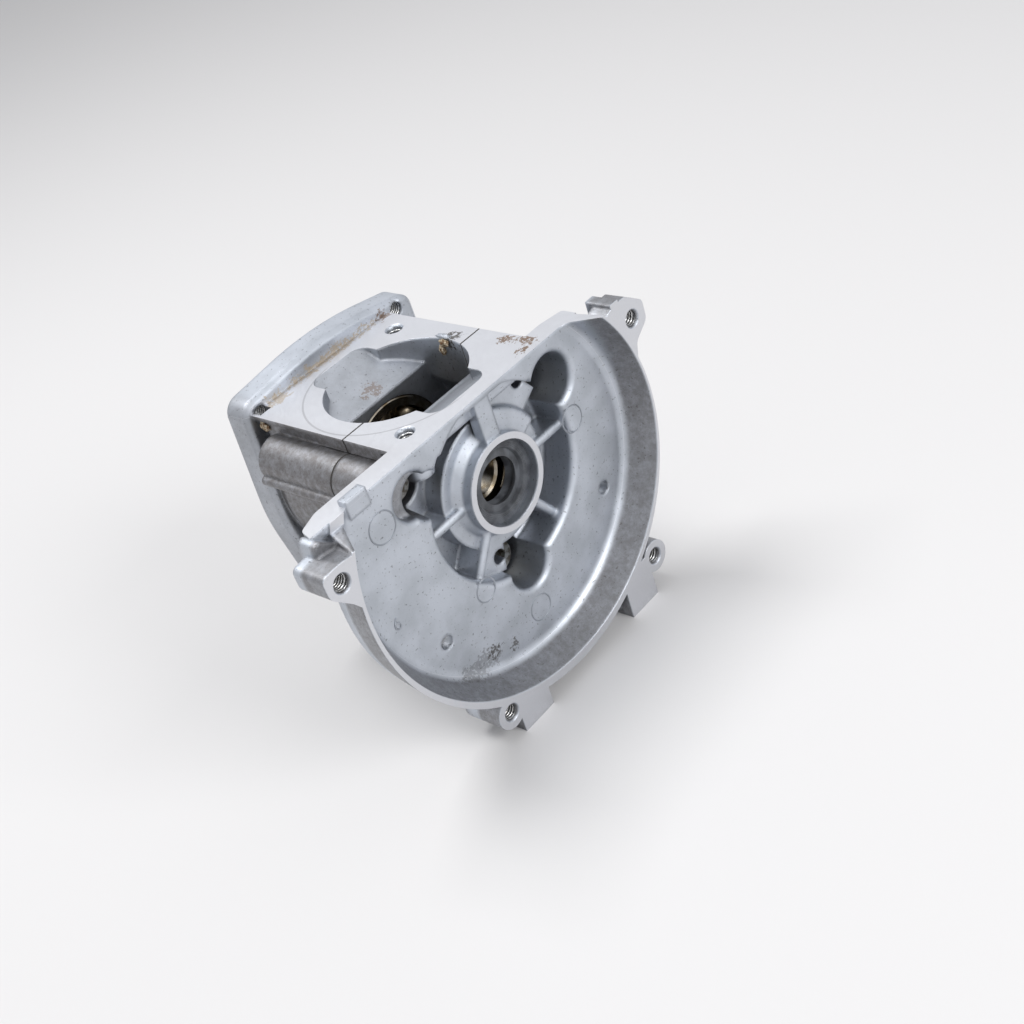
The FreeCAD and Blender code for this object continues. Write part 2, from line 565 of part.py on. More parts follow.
def make_rear_half():
    """The chamber casting with the rear bearing seat and the rear flange."""
    start = SPLIT_Y + GASKET_T
    body = case_body(start, BODY_END_Y)
    slab = box(DECK_LEFT_X, DECK_RIGHT_X, start, FLANGE_FRONT_Y + 1, DECK_Z - DECK_SLAB_T, DECK_Z)
    neck = box(-SIDE_X + 2.5, SIDE_X - 2.5, BODY_END_Y - 1, FLANGE_FRONT_Y + 1, -20, DECK_Z - 0.4)
    neck = neck.fuse(cyl_y(BODY_R - 1.0, BODY_END_Y - 1, FLANGE_FRONT_Y + 1))
    neck = neck.common(box(-40, 40, 0, 40, -40, DECK_Z - 0.4))
    bevel_end = FLANGE_FRONT_Y + FLANGE_BEVEL
    bevel = Part.makeLoft([flange_outline(FLANGE_BEVEL, FLANGE_FRONT_Y),
                           flange_outline(0.0, bevel_end)], True, True)
    half = join([body, slab, neck, bevel, flange_plate(0.0, bevel_end, FLANGE_BACK_Y)])
    cavity = cyl_y(BODY_R - FLANGE_WALL, CAVITY_FLOOR_Y, FLANGE_FRONT_Y + 3)
    cavity = cavity.common(box(-60, 60, 0, 60, -60, SPIGOT_FLOOR_Z - CAVITY_TOP_WALL))
    cavity = cavity.fuse(flange_plate(FLANGE_WALL, FLANGE_FRONT_Y + FLANGE_FLOOR_T,
                                      FLANGE_BACK_Y + 1))
    keep = [cyl_y(REAR_HOUSING_R, 0, CHAMBER_HALF + BRG_WIDTH + 2)]
    keep.append(cyl_y(REAR_BOSS_R, 0, -BOSS_FACE_Y))
    for x, z in FLANGE_HOLES:
        keep.append(cyl_y(TAP_R + 3.0, 0, FLANGE_BACK_Y, x, z))
    for x, z in SCREW_POINTS:
        keep.append(cyl_y(SCREW_R + 3.0, 0, CAVITY_FLOOR_Y + 2, x, z))
    half = half.cut(cavity.cut(join(keep)))
    half = half.cut(crank_space())
    screw_end = SCREW_SEAT_Y + SCREW_LEN + SCREW_HOLE_EXTRA
    cuts = screw_holes(SCREW_R, start - 1, screw_end)
    cuts += dowel_holes(start - 1, SPLIT_Y + GASKET_T / 2 + DOWEL_LEN / 2)
    for x, z in FLANGE_HOLES:
        cuts.append(chamfered_tap(x, FLANGE_BACK_Y, z, (0, -1, 0), TAP_DEPTH))
    x, y = DECK_HOLES[1]
    cuts.append(chamfered_tap(x, y, DECK_Z, (0, 0, -1), TAP_DEPTH))
    return half.cut(cuts)


def make_gasket():
    """The thin sheet between the halves, cut to their shared outline."""
    sheet = case_body(SPLIT_Y, SPLIT_Y + GASKET_T)
    slab = box(DECK_LEFT_X, DECK_RIGHT_X, SPLIT_Y, SPLIT_Y + GASKET_T, DECK_Z - DECK_SLAB_T, DECK_Z)
    sheet = sheet.fuse(slab).cut(crank_space())
    cuts = screw_holes(SCREW_CLEAR_R, SPLIT_Y - 1, SPLIT_Y + 2)
    cuts += dowel_holes(SPLIT_Y - 1, SPLIT_Y + 2)
    return sheet.cut(cuts)


def ring_blank(inner_r, outer_r):
    """A bearing ring's blank about y = 0 with both outer corners bevelled."""
    half = BRG_WIDTH / 2
    seat_out = outer_r == BRG_OUTER_R
    c_in = 0.0 if seat_out else RING_CHAMFER
    c_out = RING_CHAMFER if seat_out else 0.0
    profile = [(inner_r + c_in, -half), (outer_r - c_out, -half)]
    if c_out:
        profile.append((outer_r, -half + c_out))
        profile.append((outer_r, half - c_out))
    profile += [(outer_r - c_out, half), (inner_r + c_in, half)]
    if c_in:
        profile.append((inner_r, half - c_in))
        profile.append((inner_r, -half + c_in))
    return turned(profile)


def make_outer_ring():
    """Outer ring with its ball track; the track's bottom clears the balls by BALL_GAP."""
    track_r = BRG_PITCH_R + BALL_R + BALL_GAP - GROOVE_R
    track = Part.makeTorus(track_r, GROOVE_R, Vector(0, 0, 0), Vector(0, 1, 0))
    return ring_blank(OUTER_LAND_R, BRG_OUTER_R).cut(track)


def make_inner_ring():
    """Inner ring with its ball track."""
    track_r = BRG_PITCH_R - BALL_R - BALL_GAP + GROOVE_R
    track = Part.makeTorus(track_r, GROOVE_R, Vector(0, 0, 0), Vector(0, 1, 0))
    return ring_blank(BRG_INNER_R, INNER_LAND_R).cut(track)


def ball_centres(half_step=False):
    """Points spaced round the pitch circle, between the balls when half_step is set."""
    step = 2 * math.pi / BALL_COUNT
    start = step / 2 if half_step else 0.0
    points = []
    for k in range(BALL_COUNT):
        angle = start + k * step
        points.append(Vector(BRG_PITCH_R * math.sin(angle), 0, BRG_PITCH_R * math.cos(angle)))
    return points


def make_balls():
    """The bearing's balls as one group."""
    return Part.makeCompound([Part.makeSphere(BALL_R, point) for point in ball_centres()])


def make_ribbon():
    """The front half of the riveted ribbon cage."""
    pocket_in = BALL_R + POCKET_GAP
    pocket_out = pocket_in + CAGE_T
    shapes = [cyl_y(CAGE_OUT_R, -CAGE_T, 0)]
    shapes += [Part.makeSphere(pocket_out, point, point) for point in ball_centres()]
    ribbon = join(shapes)
    limits = cyl_y(CAGE_OUT_R, -pocket_out, 0).cut(cyl_y(CAGE_IN_R, -5, 5))
    ribbon = ribbon.common(limits)
    cuts = [Part.makeSphere(pocket_in, point, point) for point in ball_centres()]
    cuts += [cyl_y(RIVET_R, -2, 2, point.x, point.z) for point in ball_centres(True)]
    return ribbon.cut(cuts)


def make_rivets():
    """Rivets between the balls that hold the two ribbons together."""
    rivets = []
    top = CAGE_T + RIVET_HEAD_H
    for point in ball_centres(True):
        shank = cyl_y(RIVET_R, -CAGE_T, CAGE_T, point.x, point.z)
        heads = [cone_y(RIVET_HEAD_R, RIVET_R, CAGE_T, top, point.x, point.z)]
        heads.append(cone_y(RIVET_R, RIVET_HEAD_R, -top, -CAGE_T, point.x, point.z))
        rivets.append(shank.fuse(heads))
    return Part.makeCompound(rivets)


def make_seal(sign):
    """Lip seal; its closed face looks along the sign of the outside."""
    outside = sign * (CHAMBER_HALF + BRG_WIDTH + SEAL_GAP + SEAL_W)
    wall = 1.2
    web = 1.6
    profile = ((SEAL_R, 0.0), (SEAL_R, SEAL_W), (SEAL_R - wall, SEAL_W), (SEAL_R - wall, web + 0.6),
               (SEAL_R - wall - 0.6, web), (8.2, web), (7.35, web + 0.9), (7.35, 3.6),
               (8.0, 4.1), (8.0, 4.9), (7.3, 5.2), (SEAL_LIP_R, 4.1), (6.7, 2.6), (6.7, 2.0),
               (SEAL_LIP_R, 0.9), (SEAL_LIP_R, 0.5), (8.0, 0.9), (8.4, 0.0))
    return turned(profile, outside, -sign).cut(make_spring(sign))


def make_spring(sign):
    """The garter spring round the seal's lip, as a plain ring."""
    outside = sign * (CHAMBER_HALF + BRG_WIDTH + SEAL_GAP + SEAL_W)
    centre = Vector(0, outside - sign * SPRING_DEPTH, 0)
    return Part.makeTorus(SPRING_R, SPRING_WIRE_R, centre, Vector(0, 1, 0))


def make_screws():
    """Three socket-head screws."""
    screws = []
    for x, z in SCREW_POINTS:
        shank = cyl_y(SCREW_R, SCREW_SEAT_Y - 0.5, SCREW_SEAT_Y + SCREW_LEN, x, z)
        head = cyl_y(SCREW_HEAD_R, SCREW_SEAT_Y - SCREW_HEAD_H, SCREW_SEAT_Y, x, z)
        corner = HEX_FLATS / math.sqrt(3)
        points = []
        for k in range(6):
            angle = math.radians(60 * k)
            points.append((x + corner * math.cos(angle), z + corner * math.sin(angle)))
        socket = prism_y(points, SCREW_SEAT_Y - SCREW_HEAD_H - 1,
                         SCREW_SEAT_Y - SCREW_HEAD_H + HEX_DEPTH)
        screws.append(shank.fuse(head).cut(socket))
    return Part.makeCompound(screws)


def make_dowels():
    """Two plain dowel pins centred on the gasket."""
    middle = SPLIT_Y + GASKET_T / 2
    radius = DOWEL_R
    pins = []
    for x, z in DOWEL_POINTS:
        pins.append(cyl_y(radius, middle - DOWEL_LEN / 2, middle + DOWEL_LEN / 2, x, z))
    return Part.makeCompound(pins)


def placed(shape, y):
    """A copy moved along the crank axis."""
    copy = shape.copy()
    copy.translate(Vector(0, y, 0))
    return copy


# Build every piece and write it
nodes = {
    "front_case_half": make_front_half(),
    "rear_case_half": make_rear_half(),
    "case_gasket": make_gasket(),
    "case_screws": make_screws(),
    "dowel_pins": make_dowels(),
}
bearing = {
    "outer_ring": make_outer_ring(),
    "inner_ring": make_inner_ring(),
    "balls": make_balls(),
    "cage_front": make_ribbon(),
    "cage_rear": make_ribbon().mirror(Vector(0, 0, 0), Vector(0, 1, 0)),
    "cage_rivets": make_rivets(),
}
for side, sign in (("front", -1), ("rear", 1)):
    bearing_y = sign * (CHAMBER_HALF + BRG_WIDTH / 2)
    for name, shape in bearing.items():
        nodes[side + "_" + name] = placed(shape, bearing_y)
    nodes[side + "_oil_seal"] = make_seal(sign)
    nodes[side + "_seal_spring"] = make_spring(sign)

os.makedirs("parts", exist_ok=True)
for name, shape in nodes.items():
    solids = shape.Solids
    tidy = solids[0] if len(solids) == 1 else Part.makeCompound(solids)
    print(name, len(solids), "solids", round(shape.Volume, 1), "mm3", tidy.isValid())
    tidy.exportStep("parts/" + name + ".step")
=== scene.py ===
import bmesh
import bpy
import numpy as np
from mathutils import Matrix, Vector


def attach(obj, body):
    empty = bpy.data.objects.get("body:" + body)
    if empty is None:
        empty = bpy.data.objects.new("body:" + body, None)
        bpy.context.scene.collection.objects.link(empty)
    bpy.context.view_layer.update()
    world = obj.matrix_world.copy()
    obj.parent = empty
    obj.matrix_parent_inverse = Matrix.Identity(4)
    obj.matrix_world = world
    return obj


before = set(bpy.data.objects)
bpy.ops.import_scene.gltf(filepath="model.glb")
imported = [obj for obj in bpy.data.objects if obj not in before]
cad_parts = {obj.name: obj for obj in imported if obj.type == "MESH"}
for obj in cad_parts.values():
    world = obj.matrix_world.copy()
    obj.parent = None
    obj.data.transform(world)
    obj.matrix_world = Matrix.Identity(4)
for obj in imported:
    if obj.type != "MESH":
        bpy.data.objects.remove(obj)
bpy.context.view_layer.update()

# The two castings.
# Die-cast aluminium, left as cast on the outside with a fine sandy skin, and milled bright
# on the deck, the dish's rim, the lugs, the front boss and the rear joint face.
MM = 0.001
CAST_GREY = "#c1c6ce"
CAST_SHADE = "#b0b5bc"
# A brown film, darkened to stand also for painted shade on the walls, in the recess and on the left
# side
FILM_AND_SHADE_BROWN = "#5b544f"
MILLED_GREY = "#d2d3d7"
# Grime for specks, stains and the rubbed ring, and also the colour of the painted shade in corners
GRIME_AND_SHADE = "#403b36"
OIL_BROWN = "#6b4d2c"
DRY_BROWN = "#a38d68"
DECK_LEVEL = 25.2
RIM_LEVEL = -36.5
BOSS_LEVEL = -28.5
REAR_LEVEL = 35.5
CAST_EDGE_R = 0.0012
MILLED_EDGE_R = 0.0001
RING_MARK_R = 24.0
RING_MARK_HALF_W = 0.25
LEVEL_PLAY = 0.02
CORNER_REACH = 0.005
SKIN_RELIEF = 0.00006
STAIN_WARP = 9.0
# Where the brown film and its painted shade lie: each pair is where it starts and where it is
# whole, in millimetres
RECESS_DEPTHS = (-26.4, -16.0)
RECESS_REACH = (30.0, 27.0)
WALL_REACH = (42.8, 44.4)
WALL_DEPTHS = (-28.3, -30.0)
WALL_END = (-36.4, -36.1)
LEFT_SIDE = (-21.0, -24.5)
SIDE_DEPTHS = (-27.5, -22.0)
FLANGE_DEPTHS = (27.5, 28.2)


def linear(hex_colour):
    """An sRGB hex colour as linear red, green, blue and alpha."""
    channels = [int(hex_colour[k:k + 2], 16) / 255 for k in (1, 3, 5)]
    return tuple(c / 12.92 if c <= 0.04045 else ((c + 0.055) / 1.055) ** 2.4
                 for c in channels) + (1.0,)


def add(tree, kind, inputs=None, **settings):
    """A shader node with its settings; an input takes a value or another node's socket."""
    node = tree.nodes.new("ShaderNode" + kind)
    for name, value in settings.items():
        setattr(node, name, value)
    for key, value in (inputs or {}).items():
        if isinstance(value, bpy.types.NodeSocket):
            tree.links.new(value, node.inputs[key])
        else:
            node.inputs[key].default_value = value
    return node


def new_material(name):
    """A node material, its tree and Principled shader, and the place on the piece in mm."""
    material = bpy.data.materials.new(name)
    material.use_nodes = True
    tree = material.node_tree
    shader = tree.nodes["Principled BSDF"]
    where = add(tree, "TexCoord")
    place = add(tree, "VectorMath", {0: where.outputs["Object"], 1: (1000, 1000, 1000)},
                operation="MULTIPLY").outputs[0]
    return material, tree, shader, place


def product(tree, first, second):
    """Two masks, or a mask and a strength, multiplied."""
    return add(tree, "Math", {0: first, 1: second}, operation="MULTIPLY").outputs[0]


def larger(tree, first, second):
    """Whichever of two masks is larger."""
    return add(tree, "Math", {0: first, 1: second}, operation="MAXIMUM").outputs[0]


def ramp(tree, value, low, high):
    """A smooth step from 0 at low to 1 at high."""
    step = add(tree, "MapRange", {0: value, 1: low, 2: high}, interpolation_type="SMOOTHSTEP")
    return step.outputs[0]


def near(tree, value, level, play):
    """1 where a value is within a play of a level, and 0 elsewhere."""
    node = add(tree, "Math", {0: value, 1: level, 2: play}, operation="COMPARE")
    return node.outputs[0]


def along(tree, place, axes):
    """How far a place is from the origin, counted only along the axes that are 1."""
    kept = add(tree, "VectorMath", {0: place, 1: axes}, operation="MULTIPLY").outputs[0]
    return add(tree, "VectorMath", {0: kept}, operation="LENGTH").outputs["Value"]


def tint(tree, mask, under, over):
    """One colour over another by a mask."""
    mix = add(tree, "Mix", {0: mask, 6: under, 7: over}, data_type="RGBA")
    return mix.outputs[2]


def spot(tree, place, centre, size):
    """A soft mask round a centre, 1 inside and 0 past the ellipsoid's half sizes, in mm."""
    offset = add(tree, "VectorMath", {0: place, 1: centre}, operation="SUBTRACT").outputs[0]
    scaled = add(tree, "VectorMath", {0: offset, 1: size}, operation="DIVIDE").outputs[0]
    reach = add(tree, "VectorMath", {0: scaled}, operation="LENGTH").outputs["Value"]
    return ramp(tree, reach, 1.0, 0.45)


def cast_aluminium(name, stains):
    """Die-cast aluminium: satin grey with a sandy skin, painted shade in its corners and milled
    faces.

    A brown film, darkened with painted shade, lies in the recess, on the dish's wall and on the
    left side. Each stain is a colour, a strength and its spots."""
    material, tree, shader, place = new_material(name)
    axes = add(tree, "SeparateXYZ", {0: place})
    sand = add(tree, "TexNoise", {"Vector": place, "Scale": 2.2, "Detail": 4.0,
                                  "Roughness": 0.65}).outputs[0]
    cloud = add(tree, "TexNoise", {"Vector": place, "Scale": 0.11, "Detail": 3.0}).outputs[0]
    ragged = add(tree, "TexNoise", {"Vector": place, "Scale": 0.55, "Detail": 5.0,
                                    "Roughness": 0.7})
    speck = add(tree, "TexNoise", {"Vector": place, "Scale": 1.4, "Detail": 2.0}).outputs[0]

    # Milled faces are found by their level
    milled = near(tree, axes.outputs[2], DECK_LEVEL, LEVEL_PLAY)
    for level in (RIM_LEVEL, BOSS_LEVEL, REAR_LEVEL):
        milled = larger(tree, milled, near(tree, axes.outputs[1], level, LEVEL_PLAY))

    # Painted shade darkens the corners where walls meet; the brown film, partly painted shade, is
    # placed by depth, radius and side
    corner = add(tree, "AmbientOcclusion", {"Distance": CORNER_REACH}, samples=4).outputs["AO"]
    corner_shade = product(tree, ramp(tree, corner, 0.7, 0.2), ramp(tree, ragged.outputs[0], 0.3, 0.7))
    depth = axes.outputs[1]
    reach = along(tree, place, (1, 0, 1))
    recess_film_and_shade = product(tree, ramp(tree, depth, *RECESS_DEPTHS), ramp(tree, reach, *RECESS_REACH))
    wall_film_and_shade = product(tree, ramp(tree, reach, *WALL_REACH), ramp(tree, depth, *WALL_DEPTHS))
    wall_film_and_shade = product(tree, wall_film_and_shade, ramp(tree, depth, *WALL_END))
    # The left side is darkened by brown film and by painted shade
    side = product(tree, ramp(tree, axes.outputs[0], *LEFT_SIDE), ramp(tree, depth, *SIDE_DEPTHS))
    flange_share = add(tree, "MapRange", {0: depth, 1: FLANGE_DEPTHS[0], 2: FLANGE_DEPTHS[1],
                                          3: 1.0, 4: 0.4}).outputs[0]
    side = product(tree, side, flange_share)
    film_and_shade = larger(tree, product(tree, recess_film_and_shade, 0.35), product(tree, wall_film_and_shade, 0.8))
    film_and_shade = larger(tree, film_and_shade, side)
    patchy = add(tree, "MapRange", {0: ragged.outputs[0], 1: 0.35, 2: 0.6, 3: 0.7, 4: 1.0})
    film_and_shade = product(tree, film_and_shade, patchy.outputs[0])

    # The bare skin, its specks, the brown film with its painted shade, the milled faces and the
    # painted corner shade, one over the other
    skin = tint(tree, ramp(tree, cloud, 0.3, 0.7), linear(CAST_GREY), linear(CAST_SHADE))
    skin = tint(tree, product(tree, ramp(tree, speck, 0.64, 0.72), 0.5), skin, linear(GRIME_AND_SHADE))
    # Brown film with painted shade
    skin = tint(tree, product(tree, film_and_shade, 0.8), skin, linear(FILM_AND_SHADE_BROWN))
    skin = tint(tree, product(tree, milled, 0.9), skin, linear(MILLED_GREY))
    # A thin ring lies on the deck's left, where the cylinder's foot rubbed it
    rub = near(tree, along(tree, place, (1, 1, 0)), RING_MARK_R, RING_MARK_HALF_W)
    rub = product(tree, product(tree, rub, milled), ramp(tree, axes.outputs[0], 2.0, -6.0))
    skin = tint(tree, product(tree, rub, 0.25), skin, linear(GRIME_AND_SHADE))
    # Painted shade darkens the corners
    skin = tint(tree, product(tree, corner_shade, 0.4), skin, linear(GRIME_AND_SHADE))

    # Stains: their places are warped and their edges broken up by the noises
    wobble = add(tree, "VectorMath", {0: ragged.outputs[1], 1: (0.5, 0.5, 0.5)},
                 operation="SUBTRACT").outputs[0]
    wobble = add(tree, "VectorMath", {0: wobble, "Scale": STAIN_WARP}, operation="SCALE").outputs[0]
    warped = add(tree, "VectorMath", {0: place, 1: wobble}, operation="ADD").outputs[0]
    fleck = add(tree, "MapRange", {0: speck, 1: 0.35, 2: 0.62, 3: 0.35, 4: 1.5}).outputs[0]
    wet = None
    for colour, strength, spots in stains:
        mask = None
        for centre, size in spots:
            here = spot(tree, warped, centre, size)
            mask = here if mask is None else larger(tree, mask, here)
        mask = product(tree, ramp(tree, product(tree, mask, fleck), 0.25, 0.7), strength)
        skin = tint(tree, mask, skin, linear(colour))
        wet = mask if wet is None else larger(tree, wet, mask)

    # Stains take the shine off; the cutter leaves drawn-out scratches on the milled faces
    rough = add(tree, "MapRange", {0: sand, 1: 0.3, 2: 0.7, 3: 0.36, 4: 0.52}).outputs[0]
    metal = add(tree, "MapRange", {0: wet, 3: 1.0, 4: 0.5}).outputs[0]
    edge = add(tree, "MapRange", {0: milled, 3: CAST_EDGE_R, 4: MILLED_EDGE_R}).outputs[0]
    round_edge = add(tree, "Bevel", {"Radius": edge}, samples=4).outputs[0]
    drawn_out = add(tree, "VectorMath", {0: place, 1: (0.3, 4.0, 4.0)},
                    operation="MULTIPLY").outputs[0]
    cutter = add(tree, "TexNoise", {"Vector": drawn_out, "Scale": 1.0, "Detail": 2.0}).outputs[0]
    relief = add(tree, "Mix", {0: milled, 2: sand, 3: cutter}).outputs[0]
    bump = add(tree, "Bump", {"Strength": 0.35, "Distance": SKIN_RELIEF, "Height": relief,
                              "Normal": round_edge})
    inputs = {"Base Color": skin, "Roughness": rough, "Metallic": metal, "Normal": bump.outputs[0]}
    for key, socket in inputs.items():
        tree.links.new(socket, shader.inputs[key])
    return material


front_stains = (
    (GRIME_AND_SHADE, 0.75, (((-21.0, -28, -37.2), (3.2, 2, 2.2)), ((-14.3, -28, -40.6), (2.4, 2, 1.4)))),
    (OIL_BROWN, 0.85, (((22.9, -17.5, 25.2), (2.2, 4.0, 1.4)),
                       ((24.3, -23.2, 25.2), (2.2, 4.0, 1.4)),
                       ((20.5, -25.2, 25.2), (4.0, 2.0, 1.4)))),
    (GRIME_AND_SHADE, 0.4, (((-30.0, -28, -38.0), (16.0, 2.0, 4.5)),)),
)
rear_stains = (
    (DRY_BROWN, 0.55, (((2.0, 27.8, 25.4), (26.0, 2.2, 1.6)),
                       ((-17.0, 26.6, 25.4), (6.0, 3.4, 1.6)))),
    (OIL_BROWN, 0.75, (((23.0, 27.2, 25.6), (3.4, 1.6, 2.0)),)),
    (OIL_BROWN, 0.5, (((0.5, 12.0, 19.6), (4.2, 3.2, 2.0)),)),
    (GRIME_AND_SHADE, 0.9, (((20.2, -1.4, 24.2), (2.6, 3.6, 3.6)),)),
)
castings = {"front_case_half": cast_aluminium("die_cast_aluminium_front", front_stains),
            "rear_case_half": cast_aluminium("die_cast_aluminium_rear", rear_stains)}
for node, material in castings.items():
    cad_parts[node].material_slots[0].material = material

# The threads of the tapped holes.
# M5 x 0.8 threads cut straight into the castings for screws from the dish side, the deck
# and the rear flange. Each hole has its mouth, the way in and the thread's length in mm.
THREAD_WALL_R = 2.13 * MM
THREAD_CREST_R = 1.80 * MM
THREAD_PITCH = 0.8 * MM
THREAD_FOOT = 0.33 * MM
THREAD_LAND = 0.07 * MM
THREAD_STEPS = 28
MERGE_DISTANCE = 1e-7
TAPPED = (("lug_upper_right", (47.9, -36.0, 18.8), (0, 1, 0), 5.2),
          ("lug_left", (-58.1, -36.0, 16.9), (0, 1, 0), 9.0),
          ("lug_lower_left", (-28.8, -36.0, -48.4), (0, 1, 0), 9.0),
          ("lug_lower_right", (33.2, -36.0, -46.3), (0, 1, 0), 9.0),
          ("deck_front_left", (-17.5, -20.3, 24.7), (0, 0, -1), 9.0),
          ("deck_rear_right", (18.9, 19.1, 24.7), (0, 0, -1), 9.0),
          ("flange_upper_left", (-22.3, 35.0, 24.2), (0, -1, 0), 6.6),
          ("flange_upper_right", (28.3, 35.0, 24.2), (0, -1, 0), 6.6),
          ("flange_lower_left", (-20.3, 35.0, -29.5), (0, -1, 0), 6.6),
          ("flange_lower_right", (26.3, 35.0, -29.5), (0, -1, 0), 6.6))


def surface(name, points, material):
    """A smooth surface from a grid of points; seams and poles are merged and open ends filled."""
    rows, columns = points.shape[:2]
    row, column = np.meshgrid(np.arange(rows - 1), np.arange(columns - 1), indexing="ij")
    start = row * columns + column
    quads = np.stack([start, start + columns, start + columns + 1, start + 1], -1).reshape(-1, 4)
    mesh = bpy.data.meshes.new(name)
    mesh.from_pydata(points.reshape(-1, 3).tolist(), [], quads.tolist())
    shell = bmesh.new()
    shell.from_mesh(mesh)
    bmesh.ops.remove_doubles(shell, verts=shell.verts, dist=MERGE_DISTANCE)
    bmesh.ops.holes_fill(shell, edges=[edge for edge in shell.edges if edge.is_boundary], sides=0)
    bmesh.ops.recalc_face_normals(shell, faces=shell.faces)
    shell.to_mesh(mesh)
    shell.free()
    mesh.materials.append(material)
    mesh.polygons.foreach_set("use_smooth", [True] * len(mesh.polygons))
    piece = bpy.data.objects.new(name, mesh)
    bpy.context.collection.objects.link(piece)
    return piece


def thread_ridge(length):
    """A ridge wound along +Z into a hole: at turn a, radius runs wall, crest, crest, wall while
    height is pitch * a / 2 pi plus the section's own offset; it fades out at both ends."""
    turns = length / THREAD_PITCH - 0.6
    t = np.linspace(0, 1, int(turns * THREAD_STEPS))[:, None]
    angle = 2 * np.pi * turns * t
    fade = np.clip(np.minimum(t, 1 - t) * turns * 2, 0.02, 1.0)
    radius = np.array([THREAD_WALL_R, THREAD_CREST_R, THREAD_CREST_R, THREAD_WALL_R,
                       THREAD_WALL_R])[None, :]
    radius = THREAD_WALL_R - (THREAD_WALL_R - radius) * fade
    offset = np.array([-THREAD_FOOT, -THREAD_LAND, THREAD_LAND, THREAD_FOOT,
                       -THREAD_FOOT])[None, :] * fade
    height = THREAD_PITCH * (angle / (2 * np.pi) + 0.45) + offset
    return np.stack([radius * np.cos(angle), radius * np.sin(angle), height], -1)


# Freshly cut aluminium: bright and smooth, so each crest flashes
cut_aluminium, tree, shader, place = new_material("freshly_cut_aluminium")
scratch = add(tree, "TexNoise", {"Vector": place, "Scale": 3.0, "Detail": 3.0}).outputs[0]
tree.links.new(tint(tree, ramp(tree, scratch, 0.35, 0.7), linear("#dfe0e2"), linear("#a5a29b")),
               shader.inputs["Base Color"])
shader.inputs["Metallic"].default_value = 1.0
shader.inputs["Roughness"].default_value = 0.25
for name, mouth, inward, length in TAPPED:
    ridge = thread_ridge(length * MM)
    if inward[1]:
        # A quarter turn about X carries +Z to +Y or -Y
        ridge = ridge[..., [0, 2, 1]] * np.array([1.0, inward[1], -inward[1]])
    else:
        ridge = ridge * np.array([1.0, -1.0, -1.0])
    ridge = ridge + np.array(mouth) * MM
    piece = surface("thread_" + name, ridge, cut_aluminium)
    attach(piece, "case")

# Marks of the die on the plate.
# Rings left by the round ejector pins and a plain mould number, all standing a hair above
# the as-cast skin of the plate.
PLATE_LEVEL = -28.0 * MM
PIN_RING_W = 0.22 * MM
PIN_RING_H = 0.10 * MM
PIN_MARKS = ((-38.0, 14.6, 4.0), (26.6, 1.0, 3.6), (-2.6, -38.0, 3.6), (-17.0, -20.6, 3.2))
NUMBER_AT = (-45.4, -10.8)
NUMBER_SIZE = 5.0 * MM
NUMBER_H = 0.16 * MM


def pin_ring(x, z, radius):
    """A ring half sunk in the plate: round angle a, radius r + w cos b, height h sin b."""
    a = np.linspace(0, 2 * np.pi, 73)[:, None]
    b = np.linspace(0, 2 * np.pi, 13)[None, :]
    r = radius * MM + PIN_RING_W * np.cos(b)
    y = PLATE_LEVEL - PIN_RING_H * np.sin(b) + 0 * a
    return np.stack([x * MM + r * np.cos(a), y, z * MM + r * np.sin(a)], -1)


marks = []
for k, (x, z, radius) in enumerate(PIN_MARKS):
    marks.append(surface(f"ejector_mark_{k + 1}", pin_ring(x, z, radius),
                         castings["front_case_half"]))
glyph = bpy.data.curves.new("mould_number", "FONT")
glyph.body = "6"
glyph.size = NUMBER_SIZE
glyph.extrude = NUMBER_H
written = bpy.data.objects.new("mould_number", glyph)
bpy.context.collection.objects.link(written)
bpy.context.view_layer.update()
depsgraph = bpy.context.evaluated_depsgraph_get()
digit_mesh = bpy.data.meshes.new_from_object(written.evaluated_get(depsgraph))
bpy.data.objects.remove(written)
# The text lies in XY facing +Z; on the plate it stands in XZ facing -Y
digit_mesh.transform(Matrix(((1, 0, 0, NUMBER_AT[0] * MM), (0, 0, -1, PLATE_LEVEL),
                             (0, 1, 0, NUMBER_AT[1] * MM), (0, 0, 0, 1))))
digit_mesh.materials.clear()
digit_mesh.materials.append(castings["front_case_half"])
digit = bpy.data.objects.new("mould_number", digit_mesh)
bpy.context.collection.objects.link(digit)
marks.append(digit)
for piece in marks:
    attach(piece, "case")

# The gasket between the halves.
# Oiled gasket paper, cut to the outline of the split and pinched between the castings; only
# its dark edge shows.
gasket_paper, tree, shader, place = new_material("oiled_gasket_paper")
fibre = add(tree, "TexNoise", {"Vector": place, "Scale": 1.8, "Detail": 4.0}).outputs[0]
tree.links.new(tint(tree, fibre, linear("#1f1d1b"), linear("#3a3631")), shader.inputs["Base Color"])
shader.inputs["Roughness"].default_value = 0.8
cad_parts["case_gasket"].material_slots[0].material = gasket_paper

# The screws and the dowels.
# M5 socket-head screws, zinc plated, at the bottom of the hub's pockets, and two ground
# dowel pins hidden in the split.
zinc_plate, tree, shader, place = new_material("zinc_plated_steel")
blotch = add(tree, "TexNoise", {"Vector": place, "Scale": 0.7, "Detail": 3.0}).outputs[0]
tree.links.new(tint(tree, ramp(tree, blotch, 0.4, 0.65), linear("#8f8f8c"), linear("#5a544b")),
               shader.inputs["Base Color"])
shader.inputs["Metallic"].default_value = 1.0
shader.inputs["Roughness"].default_value = 0.38
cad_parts["case_screws"].material_slots[0].material = zinc_plate

# The two ball bearings.
# Hardened bearing steel, ground and oily, with pressed steel ribbon cages; old oil gives the
# rings and cages a tan cast.


